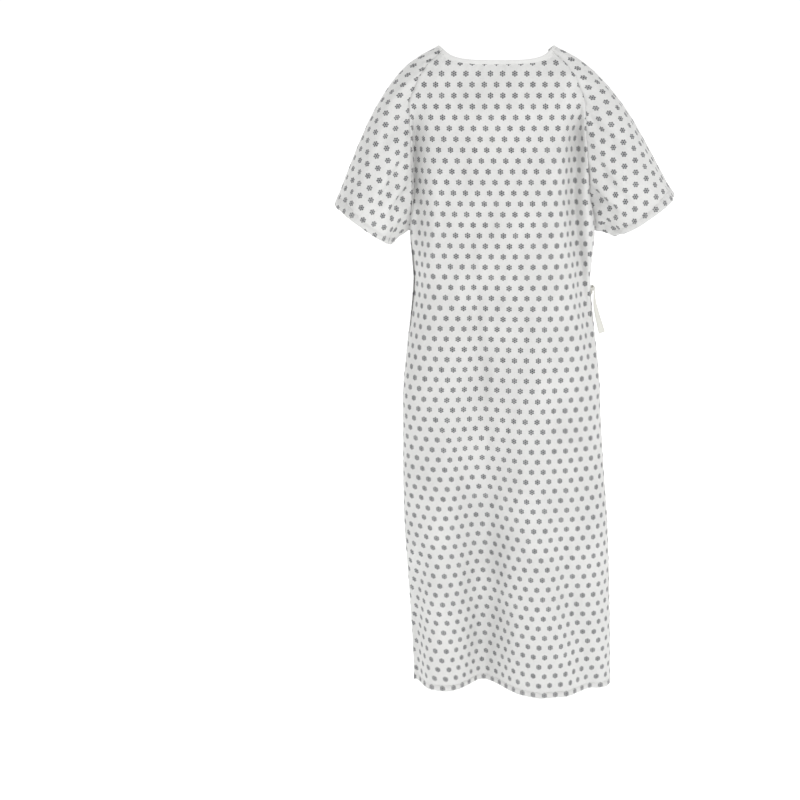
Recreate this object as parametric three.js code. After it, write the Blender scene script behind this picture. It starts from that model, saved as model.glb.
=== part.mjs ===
// A wrap patient gown, hanging as if worn. Millimetres, +Z up.
// The plain side faces -Y and the wrap side faces +Y. The side ties are on the +X side.
// The origin is midway between the two neck points, level with the cloth there.
// Every piece of cloth is a closed thin shell laid along one of a few shared surfaces.

import * as THREE from "three";

// Overall sizes
const gownLength = 1235;
const neckHalfWidth = 103;
const frontNeckDrop = 32;
const backNeckDrop = 68;
const underarmDrop = 340;
const chestHalfWidth = 166;
const skirtHalfWidth = 198;
const skirtLean = 48;
const chestDepth = 80;
const skirtDepth = 98;

// Sleeves: one list entry for each side, the +X sleeve first
const sleeveLength = 264;
const sleeveHemHalfWidth = 64;
const sleeveHemHalfDepth = 78;
const shoulderHalfWidth = 201;
const shoulderDrop = 46;
const sleeveHemSlope = THREE.MathUtils.degToRad(35.5);
const sleeveSides = [
  { name: "left", side: 1, droop: THREE.MathUtils.degToRad(59.8) },
  { name: "right", side: -1, droop: THREE.MathUtils.degToRad(68.5) },
];
const shoulderShare = 0.44;

// Cloth, hems, bindings and ties
const cloth = 2.2;
const hemCloth = 3.2;
const hemHeight = 12;
const edgeHemWidth = 10;
const bindingHeight = 8;
const bindingCloth = 3.4;
const tapeWidth = 13;
const tapeCloth = 1.6;
const joinGap = 0.5;
const layerStep = 6;
const sideTieDrop = 445;

// The wrap: the outer panel folds open along a standing line below the neck corner
const foldLineX = -(neckHalfWidth + 3);
const outerEdgeTop = 72;
const innerEdgeTop = -70;

// Folds of the hanging skirt
const valleyDepth = 88;
const valleyWidth = 50;

const white = new THREE.Color(0.93, 0.93, 0.91);
const printed = new THREE.Color(0.86, 0.86, 0.85);

function finish(color) {
  return new THREE.MeshStandardMaterial({ color, roughness: 0.9, metalness: 0 });
}

// A smooth curve through a few stations, as a function: stations run from low to high.
function profile(stations) {
  return (at) => {
    const last = stations.length - 1;
    const x = THREE.MathUtils.clamp(at, stations[0][0], stations[last][0]);
    let k = 0;
    while (k < last - 1 && x > stations[k + 1][0]) k += 1;
    const share = (x - stations[k][0]) / (stations[k + 1][0] - stations[k][0]);
    const eased = share * share * (3 - 2 * share);
    return THREE.MathUtils.lerp(stations[k][1], stations[k + 1][1], 0.5 * (share + eased));
  };
}

// Drop below the neck points is counted downwards; skirt share runs from the underarm to the hem.
function skirtShare(drop) {
  return THREE.MathUtils.clamp((drop - underarmDrop) / (gownLength - underarmDrop), 0, 1);
}

const seamTop = 9;
const seamHalfWidth = profile([
  [seamTop, neckHalfWidth - 5],
  [42, neckHalfWidth + 27],
  [62, neckHalfWidth + 41],
  [105, chestHalfWidth - 6],
  [underarmDrop - 80, chestHalfWidth - 3],
  [underarmDrop, chestHalfWidth + 6],
]);
const skirtHalf = profile([
  [0, chestHalfWidth + 6],
  [0.1, chestHalfWidth],
  [0.35, THREE.MathUtils.lerp(chestHalfWidth, skirtHalfWidth, 0.7)],
  [0.65, skirtHalfWidth],
  [1, skirtHalfWidth - 3],
]);
function halfWidthAt(drop) {
  return drop < underarmDrop ? seamHalfWidth(drop) : skirtHalf(skirtShare(drop));
}
const lean = profile([
  [100, 0],
  [underarmDrop, 0.31 * skirtLean],
  [underarmDrop + 320, 0.38 * skirtLean],
  [gownLength, skirtLean],
]);

// How far the cloth stands from the mid plane at the middle of a panel and at its sewn edge.
const depthAt = profile([
  [0, 0.5 * chestDepth],
  [120, 0.94 * chestDepth],
  [underarmDrop, chestDepth],
  [underarmDrop + 400, 0.5 * (chestDepth + skirtDepth)],
  [gownLength, skirtDepth],
]);
const seamDepth = profile([
  [seamTop, 0.28 * chestDepth],
  [60, 0.56 * chestDepth],
  [105, 0.6 * chestDepth],
  [underarmDrop - 130, 0.46 * chestDepth],
  [underarmDrop - 40, 0.24 * chestDepth],
  [underarmDrop, 0],
]);

// The plain side's one deep fold runs down from the waist and drifts towards +X.
function frontFold(x, drop) {
  const share = skirtShare(drop);
  const centre = THREE.MathUtils.lerp(-34, -8, share);
  const reach = (x - centre) / valleyWidth;
  return valleyDepth * Math.pow(share, 1.2) * Math.exp(-reach * reach);
}

// A point on the plain or the wrap side: across runs from -1 at the -X seam to 1 at the +X seam.
function bodyPoint(across, drop, facing, layerAt) {
  const turn = (across * Math.PI) / 2;
  const layer = layerAt(across);
  const half = halfWidthAt(drop) - layer;
  const bent = THREE.MathUtils.smoothstep(drop, 0.25 * underarmDrop, underarmDrop);
  const x = lean(drop) + half * THREE.MathUtils.lerp(across, Math.sin(turn), bent);
  const sewn = drop < underarmDrop ? seamDepth(drop) : 0;
  const edge = sewn - layer * Math.min(1, sewn / 20);
  const middle = depthAt(drop) - layer;
  let y = edge + (middle - edge) * Math.pow(Math.cos(turn), 0.6 + 0.2 * skirtShare(drop));
  if (facing < 0) y -= frontFold(x, drop);
  return new THREE.Vector3(x, facing * y, -drop);
}

// The two wrap panels lie one layer apart: each is on the seam line at its own sewn side.
const flush = () => 0;
const outerLayer = (across) => (-layerStep * (across + 1)) / 2;
const innerLayer = (across) => (layerStep * (1 - across)) / 2;

// The across value at which a side has a given x, found by halving.
function acrossAt(x, drop, layerAt) {
  let low = -1;
  let high = 1;
  for (let k = 0; k < 30; k += 1) {
    const middle = (low + high) / 2;
    if (bodyPoint(middle, drop, 1, layerAt).x < x) low = middle;
    else high = middle;
  }
  return (low + high) / 2;
}

function neckDropAt(across, facing) {
  const middle = facing < 0 ? frontNeckDrop : backNeckDrop;
  const flat = facing < 0 ? 3.2 : 3;
  const share = Math.min(1, Math.abs(across) / 0.999);
  return THREE.MathUtils.lerp(middle, seamTop, Math.pow(share, flat));
}

// A closed sheet of cloth: place(u, v) is its middle surface and the wall lies half on each side.
function clothSheet(name, material, place, across, down, wall) {
  const geometry = new THREE.BoxGeometry(1, 1, 1, across, down, 1);
  const spots = geometry.getAttribute("position");
  const small = 1e-3;
  for (let i = 0; i < spots.count; i += 1) {
    const u = spots.getX(i) + 0.5;
    const v = 0.5 - spots.getY(i);
    const u0 = Math.max(0, u - small);
    const v0 = Math.max(0, v - small);
    const alongU = place(Math.min(1, u + small), v).sub(place(u0, v));
    const alongV = place(u, Math.min(1, v + small)).sub(place(u, v0));
    const out = new THREE.Vector3().crossVectors(alongV, alongU).normalize();
    const spot = place(u, v).addScaledVector(out, spots.getZ(i) * wall);
    spots.setXYZ(i, spot.x, spot.y, spot.z);
  }
  return named(name, geometry, material);
}

// A closed tube of cloth: place(turn, along) is its middle surface, with turn from 0 to 1.
function clothTube(name, material, place, around, along, wall) {
  const lathe = [new THREE.Vector2(1.5, 0)];
  for (let k = 1; k <= along; k += 1) lathe.push(new THREE.Vector2(1.5, k / along));
  for (let k = along; k >= 0; k -= 1) lathe.push(new THREE.Vector2(0.5, k / along));
  lathe.push(new THREE.Vector2(1.5, 0));
  const geometry = new THREE.LatheGeometry(lathe, around);
  const spots = geometry.getAttribute("position");
  const small = 1e-3;
  for (let i = 0; i < spots.count; i += 1) {
    const radius = Math.hypot(spots.getX(i), spots.getZ(i));
    const steps = Math.round((Math.atan2(spots.getX(i), spots.getZ(i)) / (2 * Math.PI)) * around);
    const turn = ((steps + around) % around) / around;
    const t = spots.getY(i);
    const aroundStep = place(turn + small, t).sub(place(turn - small, t));
    const t0 = Math.max(0, t - small);
    const alongStep = place(turn, Math.min(1, t + small)).sub(place(turn, t0));
    const out = new THREE.Vector3().crossVectors(aroundStep, alongStep).normalize();
    const spot = place(turn, t).addScaledVector(out, (radius - 1) * wall);
    spots.setXYZ(i, spot.x, spot.y, spot.z);
  }
  return named(name, geometry, material);
}

function named(name, geometry, material) {
  geometry.computeVertexNormals();
  const mesh = new THREE.Mesh(geometry, material);
  mesh.name = name;
  return mesh;
}

const gown = new THREE.Group();
const printedCloth = finish(printed);
const whiteTape = finish(white);
const inset = cloth / 2 + joinGap;

// Rows lie closer together near the neck, where the shape turns most.
function eased(v) {
  return Math.pow(v, 1.35);
}

// A piece of the body between two across limits, each a function of the drop, and two drops.
function bodyPiece(name, material, facing, layerAt, limits, topAt, bottom, across, down, wall) {
  const place = (u, v) => {
    const start = THREE.MathUtils.lerp(limits[0](seamTop), limits[1](seamTop), u);
    const drop = THREE.MathUtils.lerp(topAt(start), bottom, eased(v));
    const here = THREE.MathUtils.lerp(limits[0](drop), limits[1](drop), u);
    return bodyPoint(here, drop, facing, layerAt);
  };
  return clothSheet(name, material, place, across, down, wall);
}

// A sewn edge stops just short of the seam line, and a free edge lies at its own x.
const seamEdge = (side) => (drop) => {
  const share = THREE.MathUtils.lerp(1.25, 0.6, skirtShare(drop));
  return side * (1 - (share * inset) / halfWidthAt(drop));
};
const freeEdge = (xOfDrop, layerAt) => (drop) => acrossAt(xOfDrop(drop), drop, layerAt);
const moved = (xOfDrop, step) => (drop) => xOfDrop(drop) + step;

const outerEdgeX = profile([
  [0, outerEdgeTop],
  [backNeckDrop, outerEdgeTop],
  [280, outerEdgeTop + 34],
  [404, outerEdgeTop + 66],
  [sideTieDrop, chestHalfWidth + 14],
  [gownLength, skirtHalfWidth + skirtLean - 8],
]);
const innerEdgeX = profile([
  [0, innerEdgeTop],
  [backNeckDrop, innerEdgeTop],
  [gownLength, innerEdgeTop - 40],
]);
const foldX = () => foldLineX;
const hemTurn = edgeHemWidth + joinGap;
const wrapRows = 30;

// The strip beside the fold line stops a gap short of it, and starts just below the neck corner.
const foldGap = 2 * joinGap;
const foldTopStep = 6;

const frontLimits = [seamEdge(-1), seamEdge(1)];
const sideLimits = [seamEdge(-1), freeEdge(moved(foldX, -foldGap), outerLayer)];
const outerLimits = [freeEdge(foldX, outerLayer), freeEdge(moved(outerEdgeX, -hemTurn), outerLayer)];
const outerEdgeLimits = [
  freeEdge(moved(outerEdgeX, -edgeHemWidth), outerLayer),
  freeEdge(outerEdgeX, outerLayer),
];
const innerLimits = [freeEdge(moved(innerEdgeX, hemTurn), innerLayer), seamEdge(1)];
const innerEdgeLimits = [
  freeEdge(innerEdgeX, innerLayer),
  freeEdge(moved(innerEdgeX, edgeHemWidth), innerLayer),
];

const neckLine = (facing) => (across) => neckDropAt(across, facing);
const belowNeck = (facing) => (across) => neckDropAt(across, facing) + bindingHeight + 3 * joinGap;
const panelEnd = gownLength - hemHeight - joinGap;

function panel(name, facing, layerAt, limits, across, down, lower = 0) {
  const top = (start) => belowNeck(facing)(start) + lower;
  return bodyPiece(name, printedCloth, facing, layerAt, limits, top, panelEnd, across, down, cloth);
}
function edgeHem(name, layerAt, limits) {
  const top = belowNeck(1);
  return bodyPiece(name, printedCloth, 1, layerAt, limits, top, panelEnd, 1, wrapRows, hemCloth);
}
function bottomHem(name, facing, layerAt, limits, across) {
  const top = () => gownLength - hemHeight;
  return bodyPiece(name, printedCloth, facing, layerAt, limits, top, gownLength, across, 1, hemCloth);
}

// A neck binding follows the neckline for its own height.
function neckBinding(name, facing, layerAt, limits, across) {
  const place = (u, v) => {
    const line = THREE.MathUtils.lerp(limits[0](seamTop), limits[1](seamTop), u);
    const drop = neckLine(facing)(line) + v * bindingHeight;
    const here = THREE.MathUtils.lerp(limits[0](drop), limits[1](drop), u);
    return bodyPoint(here, drop, facing, layerAt);
  };
  return clothSheet(name, whiteTape, place, across, 1, bindingCloth);
}

gown.add(panel("front_panel", -1, flush, frontLimits, 22, 20));
gown.add(bottomHem("front_hem", -1, flush, frontLimits, 22));
gown.add(neckBinding("front_neck_binding", -1, flush, frontLimits, 14));

gown.add(panel("back_panel_inner", 1, innerLayer, innerLimits, 12, wrapRows));
gown.add(edgeHem("back_panel_inner_edge_hem", innerLayer, innerEdgeLimits));
gown.add(bottomHem("back_panel_inner_hem", 1, innerLayer, [innerEdgeLimits[0], innerLimits[1]], 12));
gown.add(neckBinding("inner_neck_binding", 1, innerLayer, [innerEdgeLimits[0], innerLimits[1]], 12));

gown.add(panel("back_panel_outer_side", 1, outerLayer, sideLimits, 5, wrapRows, foldTopStep));
gown.add(bottomHem("back_panel_outer_side_hem", 1, outerLayer, sideLimits, 5));
gown.add(panel("back_panel_outer", 1, outerLayer, outerLimits, 12, wrapRows));
gown.add(edgeHem("back_panel_outer_edge_hem", outerLayer, outerEdgeLimits));
gown.add(bottomHem("back_panel_outer_hem", 1, outerLayer, [outerLimits[0], outerEdgeLimits[1]], 14));
gown.add(neckBinding("outer_neck_binding", 1, outerLayer, [outerLimits[0], outerEdgeLimits[1]], 12));

// The raglan sleeves. The loop where a sleeve is sewn on runs over the neck corner, down the
// plain side's seam, under the arm and up the wrap side's seam.
const neckShare = 0.1;
function sleeveSeam(side, turn) {
  const facing = turn < 0.5 ? -1 : 1;
  const share = 1 - Math.abs(1 - 2 * turn);
  if (share < neckShare) {
    const part = share / neckShare;
    const start = bodyPoint(side, seamTop, facing, flush);
    const reach = bindingHeight + joinGap;
    const x = THREE.MathUtils.lerp(side * (neckHalfWidth + reach), start.x, part * part);
    return new THREE.Vector3(x, start.y * part, -THREE.MathUtils.lerp(3, seamTop, part * part));
  }
  const drop = THREE.MathUtils.lerp(seamTop, underarmDrop, (share - neckShare) / (1 - neckShare));
  return bodyPoint(side, drop, facing, flush);
}

// The sleeve hem is an oval ring: its top is a sleeve's length down from the shoulder corner.
function sleeveHemRing(sleeve, turn) {
  const angle = 2 * Math.PI * turn;
  const topX = shoulderHalfWidth + sleeveLength * Math.cos(sleeve.droop);
  const topDrop = shoulderDrop + sleeveLength * Math.sin(sleeve.droop);
  const down = sleeveHemHalfWidth * (1 - Math.cos(angle));
  return new THREE.Vector3(
    sleeve.side * (topX - down * Math.cos(sleeveHemSlope)),
    -sleeveHemHalfDepth * Math.sin(angle),
    -topDrop - down * Math.sin(sleeveHemSlope),
  );
}

// Each line from seam to hem is a curve pulled towards the shoulder corner near the top.
function sleevePoint(sleeve, turn, along) {
  const round = turn - Math.floor(turn);
  const start = sleeveSeam(sleeve.side, round);
  const end = sleeveHemRing(sleeve, round);
  const upper = Math.max(0, Math.cos(2 * Math.PI * round));
  const corner = start.clone().lerp(end, 0.5);
  const shoulder = new THREE.Vector3(sleeve.side * shoulderHalfWidth, corner.y, -shoulderDrop);
  corner.lerp(shoulder, Math.pow(upper, 1.5));
  corner.y -= 14 * Math.sin(2 * Math.PI * round);
  const first = start.clone().lerp(corner, 0.9);
  const second = end.clone().lerp(corner, 0.85);
  return new THREE.CubicBezierCurve3(start, first, second, end).getPoint(along);
}

function sleevePiece(name, sleeve, from, to, along, wall) {
  const limits = [from, to];
  const place = (turn, share) => {
    const length = sleevePoint(sleeve, turn, 0).distanceTo(sleevePoint(sleeve, turn, 1));
    const ends = limits.map((limit) => limit.share + limit.step / length);
    return sleevePoint(sleeve, turn, THREE.MathUtils.lerp(ends[0], ends[1], share));
  };
  return clothTube(name, printedCloth, place, 28, along, wall);
}

for (const sleeve of sleeveSides) {
  const seamStart = { share: 0, step: 2 * inset };
  const split = { share: shoulderShare, step: 0 };
  const splitEnd = { share: shoulderShare, step: 5 * joinGap };
  const hemStart = { share: 1, step: -hemHeight * 0.6 };
  const tubeEnd = { share: 1, step: -hemHeight * 0.6 - 2 * joinGap };
  const hemEnd = { share: 1, step: 0 };
  gown.add(sleevePiece(`${sleeve.name}_sleeve_shoulder`, sleeve, seamStart, split, 5, cloth));
  gown.add(sleevePiece(`${sleeve.name}_sleeve`, sleeve, splitEnd, tubeEnd, 5, cloth));
  gown.add(sleevePiece(`${sleeve.name}_sleeve_hem`, sleeve, hemStart, hemEnd, 1, hemCloth));
}

// Ties are flat tapes. A route is the tape's middle line, and facing is the way its flat side looks
// at the start. A tape that twists looks endFacing's way at its end.
function tape(name, route, facing, steps, endFacing = facing) {
  const points = route.map(([x, y, z]) => new THREE.Vector3(x, y, z));
  const curve = new THREE.CatmullRomCurve3(points, false, "centripetal");
  const first = new THREE.Vector3(...facing);
  const last = new THREE.Vector3(...endFacing);
  const place = (u, v) => {
    const out = first.clone().lerp(last, v).normalize();
    const sideways = curve.getTangentAt(v).cross(out).normalize();
    return curve.getPointAt(v).addScaledVector(sideways, (u - 0.5) * tapeWidth);
  };
  return clothSheet(name, whiteTape, place, 1, steps, tapeCloth);
}

function knot(name, centre, radii) {
  const geometry = new THREE.SphereGeometry(1, 12, 8);
  geometry.scale(...radii);
  geometry.translate(...centre);
  return named(name, geometry, whiteTape);
}

const neckTieOuterRoute = [
  [88, 75, -78],
  [106, 73, -63],
  [124, 67, -55],
  [135, 66, -70],
  [124, 74, -92],
  [104, 78, -102],
  [86, 78, -101],
  [68, 81, -106],
  [53, 85, -120],
  [55, 86, -142],
  [74, 84, -160],
  [96, 80, -177],
  [110, 77, -191],
];
const neckTieInnerRoute = [
  [92, 69.5, -88],
  [106, 69.5, -98],
  [120, 70.5, -118],
  [133, 70, -140],
  [143, 68, -164],
  [149, 67, -195],
  [154, 64, -225],
  [158, 61, -252],
];
const sideTieInnerRoute = [
  [191, -2, -448],
  [191.5, -4, -464],
  [193, -7, -481],
  [197, -9, -499],
  [202, -10, -516],
  [207, -10, -533],
];
const sideTieOuterRoute = [
  [187, 41, -468],
  [184, 51, -484],
  [179, 60, -500],
  [172, 67, -520],
  [166, 72, -541],
];

gown.add(knot("neck_knot", [74, 76, -80], [9, 6, 8]));
gown.add(tape("neck_tie_outer", neckTieOuterRoute, [0, 1, 0], 30));
gown.add(tape("neck_tie_inner", neckTieInnerRoute, [0, 1, 0], 14));
gown.add(knot("side_knot", [188, 33, -456], [7, 7, 8]));
gown.add(tape("side_tie_outer", sideTieOuterRoute, [0.75, 0.66, 0], 8));
gown.add(tape("side_tie_inner", sideTieInnerRoute, [1, -0.2, 0], 10, [0.35, -0.94, 0]));

export default gown;
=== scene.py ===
# A wrap patient gown in printed cloth, hanging hollow as if it were worn.
# The plain side faces -Y, the wrap side +Y, and the side ties hang on the +X side.
import math

import bmesh
import bpy
import numpy as np
from mathutils import Matrix, Vector


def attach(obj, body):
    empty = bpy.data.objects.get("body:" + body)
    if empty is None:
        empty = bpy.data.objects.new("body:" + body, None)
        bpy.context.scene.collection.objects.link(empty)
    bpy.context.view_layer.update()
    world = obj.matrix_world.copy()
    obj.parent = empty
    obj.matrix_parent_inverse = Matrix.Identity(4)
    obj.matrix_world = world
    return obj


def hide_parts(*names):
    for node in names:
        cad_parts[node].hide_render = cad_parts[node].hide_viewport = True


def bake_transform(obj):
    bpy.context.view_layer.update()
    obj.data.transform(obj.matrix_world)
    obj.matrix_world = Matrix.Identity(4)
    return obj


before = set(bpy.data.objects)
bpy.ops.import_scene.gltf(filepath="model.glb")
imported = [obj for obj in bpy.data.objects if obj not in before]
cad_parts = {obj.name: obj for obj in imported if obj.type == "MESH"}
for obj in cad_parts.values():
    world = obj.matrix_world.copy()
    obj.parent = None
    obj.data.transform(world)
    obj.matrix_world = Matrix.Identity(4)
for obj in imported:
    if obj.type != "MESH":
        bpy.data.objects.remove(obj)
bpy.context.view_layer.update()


def place_new(name, data):
    """A new object in the scene, at the origin."""
    thing = bpy.data.objects.new(name, data)
    bpy.context.scene.collection.objects.link(thing)
    return thing


# The viewpoint: a few paces back from the plain side, level with the neck and a little to the
# gown's right, looking slightly down.
camera = place_new("camera", bpy.data.cameras.new("camera"))
camera.data.lens = 67.1
camera.data.sensor_width = 36.0
camera.data.clip_end = 60.0
camera.location = (-0.176, -2.8, -0.06)
camera.rotation_euler = (math.radians(90 - 12.2), 0, 0)
bpy.context.scene.camera = camera


# ------------------------------------------------------------------ ties
# Four lengths of flat woven cotton tape, 13 mm wide, sewn on at the neck corners, the wrap's free
# edge and the side seam, and cut straight at the ends. The neck pair is drawn into one bow loop.
TAPE_WIDTH = 0.013
TAPE_WALL = 0.0011


def add_node(tree, kind, feeds=(), **settings):
    """A shader node with its settings, and its inputs set or fed by other nodes' outputs."""
    node = tree.nodes.new(kind)
    for key, value in settings.items():
        setattr(node, key, value)
    for slot, feed in dict(feeds).items():
        if isinstance(feed, bpy.types.NodeSocket):
            tree.links.new(feed, node.inputs[slot])
        else:
            node.inputs[slot].default_value = feed
    return node


def maths(tree, operation, *feeds):
    """One number worked out from others."""
    return add_node(tree, "ShaderNodeMath", enumerate(feeds), operation=operation).outputs[0]


def tint(tree, share, first, second):
    """A colour between two others."""
    mix = add_node(tree, "ShaderNodeMix", {0: share, 6: first, 7: second}, data_type="RGBA")
    return mix.outputs[2]


def start_finish(name, roughness, sheen):
    """A cloth material: its shader, and where the cloth's own grain puts each point, in metres."""
    material = bpy.data.materials.new(name)
    material.use_nodes = True
    tree = material.node_tree
    shader = tree.nodes["Principled BSDF"]
    shader.inputs["Roughness"].default_value = roughness
    shader.inputs["Specular IOR Level"].default_value = 0.25
    shader.inputs["Sheen Weight"].default_value = sheen
    shader.inputs["Sheen Roughness"].default_value = 0.5
    grain = add_node(tree, "ShaderNodeUVMap", uv_map="Grain").outputs[0]
    return material, tree, shader, grain


def let_light_through(tree, shader, colour, bump, share):
    """Thin cloth glows a little with the light behind it."""
    glow = add_node(tree, "ShaderNodeBsdfTranslucent", {"Color": colour, "Normal": bump})
    mix = add_node(
        tree, "ShaderNodeMixShader", {0: share, 1: shader.outputs[0], 2: glow.outputs[0]}
    )
    tree.links.new(mix.outputs[0], tree.nodes["Material Output"].inputs["Surface"])


def threads(tree, grain, turn, warp, weft):
    """Uneven yarns both ways: long thin noise along the warp and along the weft, added up."""
    total = None
    for scale in ((warp, weft, 1), (weft, warp, 1)):
        yarn = add_node(
            tree, "ShaderNodeMapping", {0: grain, 2: (0, 0, turn), 3: scale}
        ).outputs[0]
        noise = add_node(tree, "ShaderNodeTexNoise", {"Vector": yarn, "Scale": 1.0, "Detail": 3.0})
        total = noise.outputs[0] if total is None else maths(tree, "ADD", total, noise.outputs[0])
    return maths(tree, "MULTIPLY", total, 0.5)


def white_cotton_finish(name, darker, lighter):
    """Plain white cotton: a close twill of slanting yarns with fine ribs, a little uneven from wear."""
    material, tree, shader, grain = start_finish(name, 0.86, 0.15)
    yarns = threads(tree, grain, math.radians(45), 1500, 300)
    along = add_node(tree, "ShaderNodeMapping", {0: grain, 3: (2400, 60, 1)}).outputs[0]
    ribs = add_node(tree, "ShaderNodeTexNoise", {"Vector": along, "Scale": 1.0}).outputs[0]
    worn = add_node(tree, "ShaderNodeTexNoise", {"Vector": grain, "Scale": 35.0}).outputs[0]
    shade = maths(tree, "ADD", maths(tree, "MULTIPLY", yarns, 0.5), maths(tree, "MULTIPLY", worn, 0.5))
    colour = tint(tree, shade, darker, lighter)
    tree.links.new(colour, shader.inputs["Base Color"])
    height = maths(tree, "ADD", yarns, ribs)
    bump = add_node(tree, "ShaderNodeBump", {"Height": height, "Strength": 0.5, "Distance": 0.0004})
    tree.links.new(bump.outputs[0], shader.inputs["Normal"])
    return material


white_tape = white_cotton_finish(
    "white cotton tape", (0.62, 0.618, 0.575, 1), (0.71, 0.707, 0.66, 1)
)


def run_along(points):
    """How far along a line of points each of them lies."""
    return np.concatenate([[0], np.cumsum(np.linalg.norm(np.diff(points, axis=0), axis=1))])


def smooth_route(points, steps):
    """Even points along one smooth curve through the given ones. The same curve as the solid's."""
    given = [Vector(p) / 1000 for p in points]
    given = [given[0] * 2 - given[1], *given, given[-1] * 2 - given[-2]]
    dense = []
    for a, b, c, d in zip(given, given[1:], given[2:], given[3:]):
        knots = [0.0]
        for p, q in ((a, b), (b, c), (c, d)):
            knots.append(knots[-1] + math.sqrt(max((q - p).length, 1e-6)))
        t0, t1, t2, t3 = knots
        for t in np.linspace(t1, t2, 20, endpoint=False):
            ab = a.lerp(b, (t - t0) / (t1 - t0))
            bc = b.lerp(c, (t - t1) / (t2 - t1))
            cd = c.lerp(d, (t - t2) / (t3 - t2))
            near = ab.lerp(bc, (t - t0) / (t2 - t0))
            far = bc.lerp(cd, (t - t1) / (t3 - t1))
            dense.append(near.lerp(far, (t - t1) / (t2 - t1)))
    dense.append(given[-2])
    dense = np.array(dense)
    run = run_along(dense)
    at = np.linspace(0, run[-1], steps + 1)
    return np.column_stack([np.interp(at, run, dense[:, k]) for k in range(3)]), run[-1]


def unit(vectors):
    """The same directions, each one long."""
    return vectors / np.maximum(np.linalg.norm(vectors, axis=-1, keepdims=True), 1e-12)


def cloth_grid(name, across, down, spots, grain, materials, wall, closed=False, out=None):
    """A sheet of cloth. spots and grain hold the place and the weave's own place of every corner,
    row by row from the top. A closed sheet is a tube, whose two side edges are one. The right side
    of the cloth is the one that out points to."""
    bm = bmesh.new()
    bmesh.ops.create_grid(bm, x_segments=across, y_segments=down, size=0.5)
    bm.verts.ensure_lookup_table()
    corners = np.array([v.co for v in bm.verts])
    row = np.rint((0.5 - corners[:, 1]) * down).astype(int)
    column = np.rint((corners[:, 0] + 0.5) * across).astype(int)
    uv = bm.loops.layers.uv.new("Grain")
    flat = grain[row, column]
    for face in bm.faces:
        face.smooth = True
        for loop in face.loops:
            loop[uv].uv = flat[loop.vert.index]
    for vert, spot in zip(bm.verts, spots[row, column]):
        vert.co = spot
    if closed:
        bmesh.ops.remove_doubles(bm, verts=bm.verts[:], dist=1e-6)
    if out is not None:
        grid_out = np.cross(np.gradient(spots, axis=0), np.gradient(spots, axis=1))
        if (grid_out * out).sum(axis=-1).mean() < 0:
            bmesh.ops.reverse_faces(bm, faces=bm.faces[:])
    mesh = bpy.data.meshes.new(name)
    bm.to_mesh(mesh)
    bm.free()
    piece = place_new(name, mesh)
    for material in materials:
        mesh.materials.append(material)
    if wall:
        thick = piece.modifiers.new("cloth", "SOLIDIFY")
        thick.thickness = wall
        thick.offset = 0
        thick.material_offset = len(materials) - 1
    return piece


TAPE_COLUMNS = 6


def lay_tape(name, points, facing, end_facing, steps, ripple):
    """A tape along a route, slightly cupped and rippled. Its flat side looks one way at the start
    and may twist to look another way at the end."""
    middle, length = smooth_route(points, steps)
    along = unit(np.gradient(middle, axis=0))
    first, last = np.array(facing, float), np.array(end_facing, float)
    looks = first + (last - first) * np.linspace(0, 1, steps + 1)[:, None]
    sideways = unit(np.cross(along, looks))
    out = unit(np.cross(sideways, along))
    share = np.linspace(-0.5, 0.5, TAPE_COLUMNS + 1)
    run = np.linspace(0, length, steps + 1)
    cup = 0.0012 * (1 - 4 * share**2) * np.sin(run / 0.021)[:, None]
    lift = cup + ripple * np.sin(run / 0.0085)[:, None] * share
    spots = (
        middle[:, None]
        + TAPE_WIDTH * share[None, :, None] * sideways[:, None]
        + lift[..., None] * out[:, None]
    )
    grain = np.stack(
        np.broadcast_arrays(TAPE_WIDTH * share[None, :], run[:, None]), axis=-1
    )
    tape = cloth_grid(name, TAPE_COLUMNS, steps, spots, grain, [white_tape], TAPE_WALL)
    return tape, length, spots


NECK_TIE_OUTER = [
    (88, 75, -78), (106, 73, -63), (124, 67, -55), (135, 66, -70), (124, 74, -92),
    (104, 78, -102), (86, 78, -101), (68, 81, -106), (53, 85, -120), (55, 86, -142),
    (74, 84, -160), (96, 80, -177), (110, 77, -191),
]
NECK_TIE_INNER = [
    (92, 69.5, -88), (106, 69.5, -98), (120, 70.5, -118), (133, 70, -140),
    (143, 68, -164), (149, 67, -195), (154, 64, -225), (158, 61, -252),
]
SIDE_TIE_INNER = [
    (191, -2, -448), (191.5, -4, -464), (193, -7, -481), (197, -9, -499),
    (202, -10, -516), (207, -10, -533),
]
SIDE_TIE_OUTER = [(187, 41, -468), (184, 51, -484), (179, 60, -500), (172, 67, -520), (166, 72, -541)]

for name, points, facing, end_facing, steps, body in (
    ("neck_tie_outer", NECK_TIE_OUTER, (0, 1, 0), (0, 1, 0), 150, "outer_flap"),
    ("neck_tie_inner", NECK_TIE_INNER, (0, 1, 0), (0, 1, 0), 90, "root"),
    ("side_tie_inner", SIDE_TIE_INNER, (1, -0.2, 0), (0.35, -0.94, 0), 60, "root"),
    ("side_tie_outer", SIDE_TIE_OUTER, (0.75, 0.66, 0), (0.75, 0.66, 0), 50, "outer_flap"),
):
    tie, length, tie_spots = lay_tape(f"{name}_tape", points, facing, end_facing, steps, 0.0004)
    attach(tie, body)
    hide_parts(name)

def face_outwards(piece, shut_ends=False):
    """Turns a closed tube's faces outwards, after its open ends are shut if it has any."""
    bm = bmesh.new()
    bm.from_mesh(piece.data)
    if shut_ends:
        bmesh.ops.holes_fill(bm, edges=[e for e in bm.edges if e.is_boundary], sides=0)
    bmesh.ops.recalc_face_normals(bm, faces=bm.faces[:])
    bm.to_mesh(piece.data)
    bm.free()


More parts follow.
